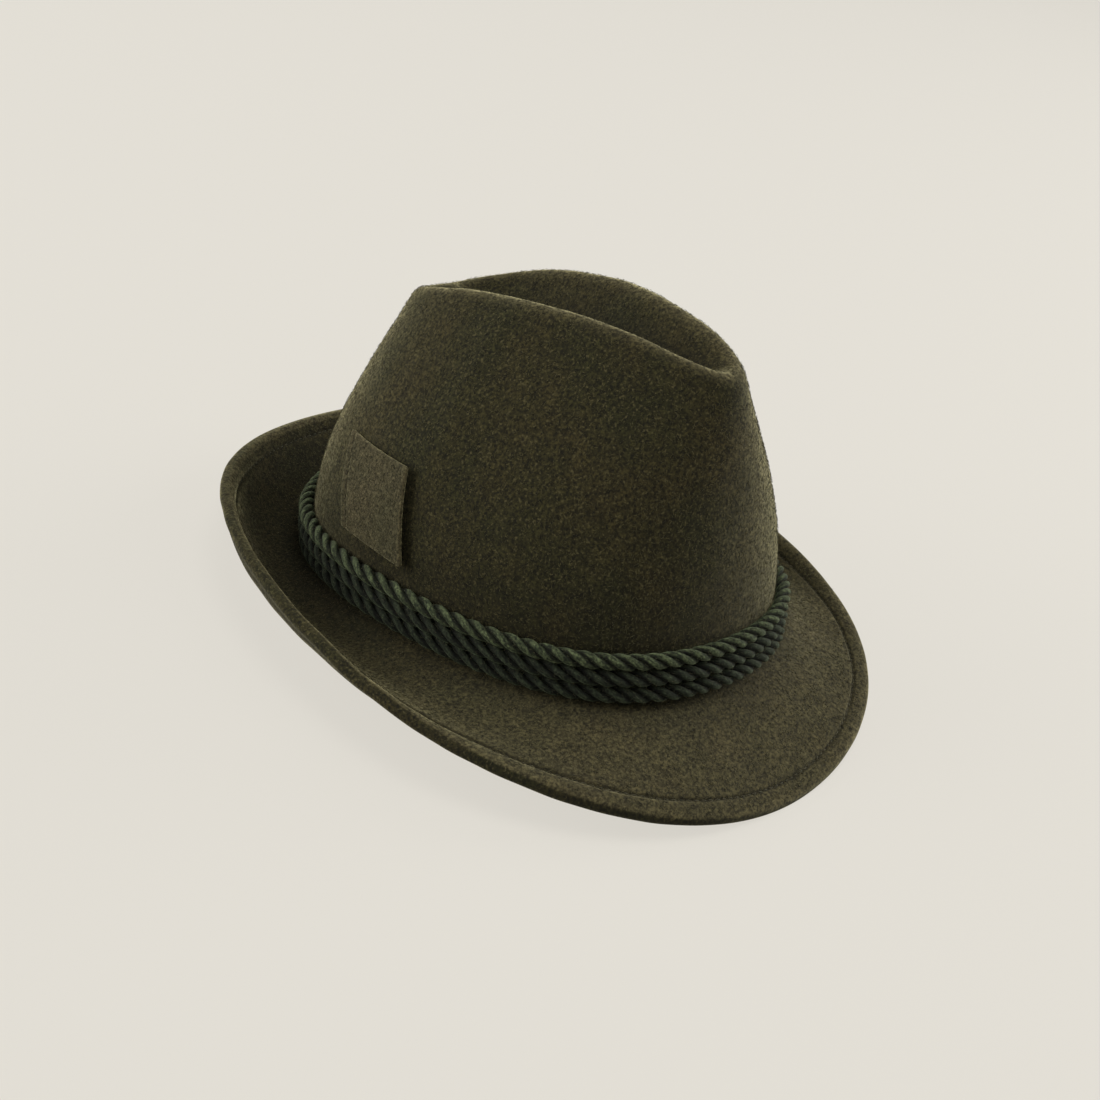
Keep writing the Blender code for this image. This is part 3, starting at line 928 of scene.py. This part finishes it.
def add_holder_stitches(material):
    """A row of small stitches along the holder's seam."""
    up = np.linspace(HOLDER_STITCH_ENDS[0], HOLDER_STITCH_ENDS[1], HOLDER_STEPS)
    across = np.full_like(up, HOLDER_SEAM)
    path = holder_point(across, up, np.full_like(up, HOLDER_THICKNESS - HOLDER_SEAM_DEPTH))
    inner = holder_point(across, up, np.zeros_like(up))
    vertices, faces = stitch_row(path, unit(path - inner))
    body = mesh_object("holder_stitches", at_rest(vertices), faces, material)
    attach(body, "root")


def add_node(tree, kind, inputs=None, **settings):
    """A shader node with its settings and inputs. An input is a value, or the socket that it comes from."""
    made = tree.nodes.new(kind)
    for key, value in settings.items():
        setattr(made, key, value)
    for key, value in (inputs or {}).items():
        if isinstance(value, bpy.types.NodeSocket):
            tree.links.new(value, made.inputs[key])
        else:
            made.inputs[key].default_value = value
    return made


def new_material(name, roughness, sheen=0.0, sheen_roughness=0.5, sheen_tint=(1, 1, 1)):
    """A new material, its node tree and its shader."""
    material = bpy.data.materials.new(name)
    material.use_nodes = True
    shader = material.node_tree.nodes["Principled BSDF"]
    shader.inputs["Roughness"].default_value = roughness
    shader.inputs["Specular IOR Level"].default_value = FABRIC_SPECULAR
    shader.inputs["Sheen Weight"].default_value = sheen
    shader.inputs["Sheen Roughness"].default_value = sheen_roughness
    shader.inputs["Sheen Tint"].default_value = (*sheen_tint, 1)
    return material, material.node_tree, shader


def blend_colours(tree, factor, first, second, kind="MIX"):
    """The mix of two colours, each a socket or three numbers."""
    mixer = add_node(tree, "ShaderNodeMix", data_type="RGBA", blend_type=kind)
    for key, value in (("Factor", factor), ("A", first), ("B", second)):
        socket = next(s for s in mixer.inputs if s.name == key and s.enabled)
        if isinstance(value, bpy.types.NodeSocket):
            tree.links.new(value, socket)
        elif key == "Factor":
            socket.default_value = value
        else:
            socket.default_value = (*value, 1)
    return next(s for s in mixer.outputs if s.enabled)


def colour_ramp(tree, value, stops):
    """A ramp through (place, colour) stops."""
    ramp = add_node(tree, "ShaderNodeValToRGB", {"Fac": value})
    elements = ramp.color_ramp.elements
    while len(elements) < len(stops):
        elements.new(0.5)
    for element, (place, colour) in zip(elements, stops):
        element.position = place
        element.color = (*colour, 1)
    return ramp.outputs["Color"]


def grey_stops(stops):
    """(place, shade) stops as stops of grey."""
    return [(place, (shade, shade, shade)) for place, shade in stops]


def noise_pattern(tree, place, scale, detail, roughness):
    """Soft noise by place, between about 0 and 1."""
    inputs = {"Vector": place, "Scale": scale, "Detail": detail, "Roughness": roughness}
    return add_node(tree, "ShaderNodeTexNoise", inputs).outputs["Fac"]


def add_bump(tree, shader, height, strength, distance):
    """Fine relief in a shader's surface, by a height from 0 to 1 times a distance."""
    bump = add_node(tree, "ShaderNodeBump", {"Strength": strength, "Distance": distance, "Height": height})
    tree.links.new(bump.outputs["Normal"], shader.inputs["Normal"])


def felt_material(name, olive, brown, grain_size, contrast):
    """Melange felt: clouds of olive and brown, a grain and blotches of dark and light fibres, and single pale
    and dark flecks. It has a painted highlight by one attribute and painted shade by another, which also
    darkens its sheen. Its sheen has its grain."""
    material, tree, shader = new_material(
        name, FELT_ROUGHNESS, FELT_SHEEN, FELT_SHEEN_ROUGHNESS, FELT_SHEEN_TINT
    )
    place = add_node(tree, "ShaderNodeTexCoord").outputs["Object"]
    clouds = noise_pattern(tree, place, 1 / FELT_CLOUD_SIZE, *CLOUD_NOISE)
    grain = noise_pattern(tree, place, 1 / grain_size, *GRAIN_NOISE)
    flecks = noise_pattern(tree, place, 1 / (FLECK_SIZE_IN_GRAINS * grain_size), *FLECK_NOISE)
    blotches = noise_pattern(tree, place, 1 / (BLOTCH_SIZE_IN_GRAINS * grain_size), *BLOTCH_NOISE)
    grain_shades = (1 - contrast, 1.0, 1 + PALE_CONTRAST * contrast)
    speckle = colour_ramp(tree, grain, grey_stops(zip(GRAIN_TURN, grain_shades)))
    shade = colour_ramp(tree, blotches, grey_stops(zip(BLOTCH_TURN, BLOTCH_SHADES)))
    pale = colour_ramp(tree, flecks, grey_stops(zip(PALE_FLECK_TURN, (0.0, 1.0))))
    dark = colour_ramp(tree, flecks, grey_stops(zip(DARK_FLECK_TURN, (1.0, 0.0))))
    # Numbers at each vertex for the painted highlight and the painted shade.
    painted_highlight = add_node(tree, "ShaderNodeAttribute", attribute_name="painted_highlight").outputs["Fac"]
    painted_shade = add_node(tree, "ShaderNodeAttribute", attribute_name="painted_shade").outputs["Fac"]

    def grained(colour):
        mixed = blend_colours(tree, 1.0, colour, speckle, "MULTIPLY")
        return blend_colours(tree, 1.0, mixed, shade, "MULTIPLY")

    colour = grained(colour_ramp(tree, clouds, list(zip(CLOUD_TURN, (olive, brown)))))
    colour = blend_colours(tree, pale, colour, FELT_PALE_FLECK)
    colour = blend_colours(tree, dark, colour, FELT_DARK_FLECK)
    # A painted highlight, then painted shade on the colour and on the sheen.
    colour = blend_colours(tree, painted_highlight, colour, grained(FELT_HIGHLIGHT_COLOUR))
    colour = blend_colours(tree, painted_shade, colour, FELT_DARK_FLECK)
    tree.links.new(colour, shader.inputs["Base Color"])
    sheen = blend_colours(tree, painted_shade, grained(FELT_SHEEN_TINT), FELT_DARK_FLECK)
    tree.links.new(sheen, shader.inputs["Sheen Tint"])
    add_bump(tree, shader, grain, FELT_BUMP, FELT_BUMP_IN_GRAINS * grain_size)
    return material


def fibre_material(name, stops):
    """Loose fibres, each of one tone."""
    material, tree, shader = new_material(
        name, FIBRE_ROUGHNESS, FIBRE_SHEEN, FIBRE_SHEEN_ROUGHNESS, FELT_SHEEN_TINT
    )
    tone = add_node(tree, "ShaderNodeAttribute", attribute_name="tone").outputs["Fac"]
    tree.links.new(colour_ramp(tree, tone, stops), shader.inputs["Base Color"])
    return material


def yarn_material(name, dark, light, is_strand=True):
    """Twisted wool yarn, mottled, with fine lines. A cord's strand has them along it, by its UVs, and has
    painted shade where it turns in, on its colour and its sheen. A thread has no UVs and is of one shade all
    round."""
    material, tree, shader = new_material(
        name, CORD_ROUGHNESS, CORD_SHEEN, CORD_SHEEN_ROUGHNESS, CORD_SHEEN_TINT
    )
    places = add_node(tree, "ShaderNodeTexCoord").outputs
    place = places["UV" if is_strand else "Object"]
    scale = YARN_LINES if is_strand else THREAD_LINES
    stretched = add_node(tree, "ShaderNodeMapping", {"Vector": place, "Scale": scale}).outputs["Vector"]
    lines = noise_pattern(tree, stretched, 1.0, *YARN_LINE_NOISE)
    colour = colour_ramp(tree, lines, list(zip(YARN_LINE_TURN, (dark, light))))
    mottle = noise_pattern(tree, places["Object"], 1 / YARN_MOTTLE_SIZE, *YARN_MOTTLE_NOISE)
    mottle = colour_ramp(tree, mottle, grey_stops(YARN_MOTTLE))
    colour = blend_colours(tree, 1.0, colour, mottle, "MULTIPLY")
    if is_strand:
        # Painted shade where the strand turns in, on its colour and its sheen.
        around_strand = add_node(tree, "ShaderNodeSeparateXYZ", {"Vector": place}).outputs["Y"]
        depth = colour_ramp(tree, around_strand, grey_stops(STRAND_SHADES))
        colour = blend_colours(tree, 1.0, colour, depth, "MULTIPLY")
        sheen = blend_colours(tree, 1.0, CORD_SHEEN_TINT, depth, "MULTIPLY")
        tree.links.new(sheen, shader.inputs["Sheen Tint"])
    tree.links.new(colour, shader.inputs["Base Color"])
    add_bump(tree, shader, lines, YARN_BUMP, YARN_BUMP_DEPTH)
    return material


def direction(azimuth, elevation):
    """Towards the viewer from the object, for a view so many degrees round from the front and up."""
    a, e = math.radians(azimuth), math.radians(elevation)
    return Vector((math.sin(a) * math.cos(e), -math.cos(a) * math.cos(e), math.sin(e)))


def add_camera():
    """The photo's camera."""
    back = direction(CAMERA_AZIMUTH, CAMERA_ELEVATION)
    a, r = math.radians(CAMERA_AZIMUTH), math.radians(CAMERA_ROLL)
    level = Vector((math.cos(a), math.sin(a), 0))
    upright = back.cross(level)
    right = level * math.cos(r) + upright * math.sin(r)
    up = upright * math.cos(r) - level * math.sin(r)
    data = bpy.data.cameras.new("camera")
    data.lens = CAMERA_LENS_MM
    data.sensor_width = CAMERA_SENSOR_MM
    data.clip_start = CAMERA_CLIP_START
    camera = bpy.data.objects.new("camera", data)
    camera.matrix_world = Matrix.LocRotScale(
        Vector(CAMERA_PLACE), Matrix((right, up, back)).transposed().to_quaternion(), None
    )
    bpy.context.scene.collection.objects.link(camera)
    bpy.context.scene.camera = camera


def add_lights():
    """Round soft lamps, and a world that is pale low down and dim above."""
    for name, azimuth, elevation, size, power in LIGHTS:
        data = bpy.data.lights.new(name, "AREA")
        data.shape = "DISK"
        data.size = size
        data.energy = power
        data.color = LIGHT_COLOUR
        lamp = bpy.data.objects.new(name, data)
        towards = direction(azimuth, elevation)
        lamp.location = Vector(LIGHT_AIM) + towards * LIGHT_DISTANCE
        lamp.rotation_mode = "QUATERNION"
        lamp.rotation_quaternion = (-towards).to_track_quat("-Z", "Y")
        bpy.context.scene.collection.objects.link(lamp)
    world = bpy.data.worlds.new("studio")
    world.use_nodes = True
    tree = world.node_tree
    place = add_node(tree, "ShaderNodeTexCoord").outputs["Generated"]
    height = add_node(tree, "ShaderNodeSeparateXYZ", {"Vector": place}).outputs["Z"]
    background = tree.nodes["Background"]
    tree.links.new(colour_ramp(tree, height, WORLD_BY_HEIGHT), background.inputs["Color"])
    bpy.context.scene.world = world
    bpy.context.scene.view_settings.view_transform = "Standard"


def add_floor():
    """The plain pale floor that the hat rests on."""
    material, _, shader = new_material("studio_floor", FLOOR_ROUGHNESS)
    shader.inputs["Base Color"].default_value = (*FLOOR_COLOUR, 1)
    shader.inputs["Emission Color"].default_value = (*FLOOR_GLOW, 1)
    shader.inputs["Emission Strength"].default_value = FLOOR_GLOW_STRENGTH
    half = FLOOR_SIZE / 2
    corners = [(-half, -half, 0), (half, -half, 0), (half, half, 0), (-half, half, 0)]
    floor = mesh_object("studio_floor", corners, [(0, 1, 2, 3)], material)


def main():
    """The hat in its studio. The fibres' lots take their random draws in this order."""
    add_camera()
    felt = felt_material("felt", FELT_OLIVE, FELT_BROWN, FELT_GRAIN_SIZE, FELT_CONTRAST)
    holder_felt = felt_material("holder_felt", HOLDER_OLIVE, HOLDER_BROWN, HOLDER_GRAIN_SIZE, HOLDER_CONTRAST)
    nap = fibre_material("felt_nap", FELT_FIBRES)
    yarn = yarn_material("cord_yarn", CORD_DARK, CORD_LIGHT)
    # The two lower rows take a copy of the yarn darkened by painted shade.
    shaded_low_yarn = yarn_material("cord_yarn_low_shaded", CORD_LOW_DARK, CORD_LOW_LIGHT)
    yarn_fuzz = fibre_material("cord_fuzz", CORD_FIBRES)
    thread = yarn_material("thread", THREAD_DARK, THREAD_LIGHT, is_strand=False)
    yarns = (shaded_low_yarn, shaded_low_yarn, yarn)
    strands = [grid for row, name in enumerate(CORD_NAMES) for grid in add_cord(row, name, yarns[row])]
    grid, normals, wanted = add_felt(felt)
    resting = at_rest(grid)
    for number in range(NAP_LAYERS):
        add_fibres(f"felt_nap_{number + 1}", [fibres(resting, True, NAP_COUNT, *NAP_SIZE)], nap)
    fuzz = [fibres(strand, True, CORD_FUZZ_COUNT // len(strands), *CORD_FUZZ_SIZE) for strand in strands]
    add_fibres("cord_fuzz", fuzz, yarn_fuzz)
    patch = add_holder(holder_felt)
    add_fibres("holder_nap", [fibres(patch, False, HOLDER_NAP_COUNT, *HOLDER_NAP_SIZE)], nap)
    add_groove_stitches(grid, normals, wanted, thread)
    add_holder_stitches(thread)
    add_floor()
    add_lights()


main()
